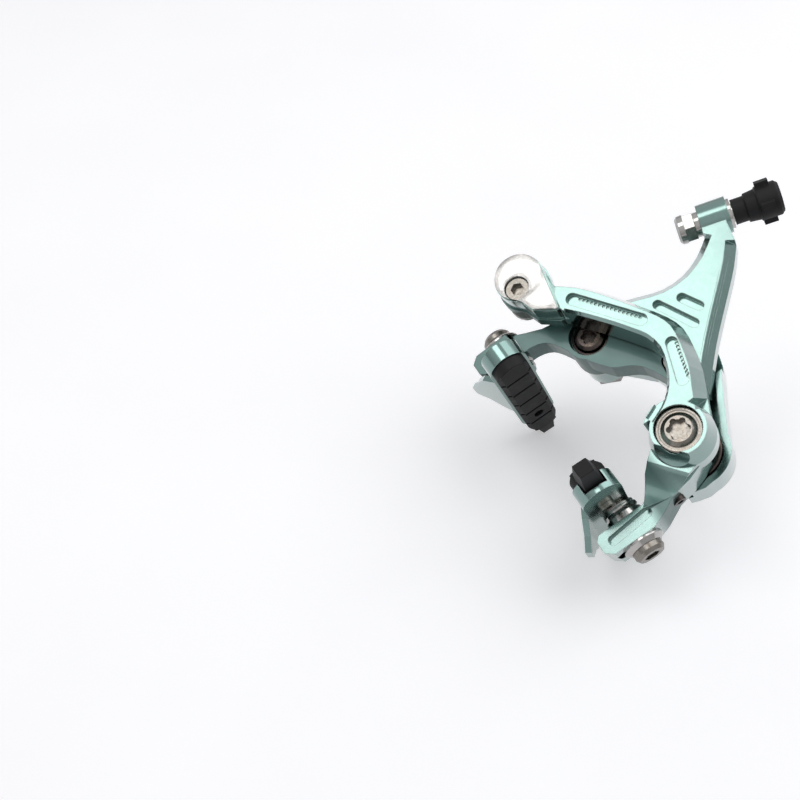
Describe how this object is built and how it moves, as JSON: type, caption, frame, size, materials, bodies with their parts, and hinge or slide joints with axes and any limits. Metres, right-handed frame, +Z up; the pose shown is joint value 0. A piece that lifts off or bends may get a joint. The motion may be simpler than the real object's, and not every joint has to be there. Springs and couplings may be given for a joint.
{
  "type": "bicycle caliper brake",
  "caption": "Dual-pivot side-pull caliper brake: machined arch, coupled arms on a rear bracket, rubber pads in open holders, quick-release lever and booted barrel adjuster.",
  "frame": {"origin": "centre bolt axis, at the rear face of the washer that seats on the frame", "axes": "+Z up as mounted, +Y rearward along the centre bolt, +X to the right seen from the front"},
  "size_m": [0.0889, 0.0841, 0.1014],
  "materials": {
    "anodised": "satin anodised, pale teal",
    "polished": "polished",
    "stainless": "bright, slightly warm",
    "dark_steel": "blackened",
    "rubber": "matt black"
  },
  "bodies": {
    "bracket": {"pivot_bracket": "anodised", "centre_bolt": "stainless", "centre_washer": "stainless", "side_pivot_bolt": "stainless", "side_pivot_nut": "stainless", "hub_pivot_bolt": "dark_steel", "hub_pivot_nut": "stainless", "side_pivot_washer": "polished", "hub_washer": "polished", "return_spring": "dark_steel"},
    "arch": {"arch_arm": "anodised", "side_pivot_bush": "stainless", "link_pin": "stainless", "link_bush": "stainless", "centring_screw": "dark_steel", "clamp_washer": "polished", "anchor_nut": "stainless", "cable_anchor_bolt": "stainless", "right_pad_holder": "anodised", "right_pad_rubber": "rubber", "right_pad_screw": "stainless", "right_pad_bolt": "stainless", "right_domed_washer": "stainless", "right_cup_washers": "polished"},
    "lever": {"quick_release_lever": "anodised", "lever_cover": "polished"},
    "adjuster": {"adjuster_arm": "anodised", "hub_bush": "stainless", "adjuster_washer": "polished", "adjuster_nut": "polished", "left_pad_holder": "anodised", "left_pad_rubber": "rubber", "left_pad_screw": "stainless", "left_pad_bolt": "stainless", "left_domed_washer": "stainless", "left_cup_washers": "polished"},
    "barrel": {"adjuster_barrel": "polished", "adjuster_boot": "rubber"}
  },
  "joints": [
    {"name": "arch_arm_hinge", "type": "hinge", "parent": "bracket", "child": "arch", "pos_m": [0.0205, -0.0328, -0.014], "axis": [0, 1, 0], "range_deg": [0, 10], "stiffness_Nm_per_rad": 1, "springref_deg": -17.19, "deforming": ["return_spring"]},
    {"name": "adjuster_arm_hinge", "type": "hinge", "parent": "bracket", "child": "adjuster", "pos_m": [-0.0205, -0.0221, -0.017], "axis": [0, -1, 0], "range_deg": [0, 10]},
    {"name": "quick_release_hinge", "type": "hinge", "parent": "arch", "child": "lever", "pos_m": [-0.0393, -0.0355, -0.0248], "axis": [0, 1, 0], "range_deg": [0, 75]},
    {"name": "barrel_turn", "type": "hinge", "parent": "adjuster", "child": "barrel", "pos_m": [-0.028, -0.0221, 0.0302], "axis": [0.3665, 0, 0.9304], "continuous": true}
  ],
  "couplings": [
    {"joint": "adjuster_arm_hinge", "follows": "arch_arm_hinge", "ratio": 1}
  ]
}
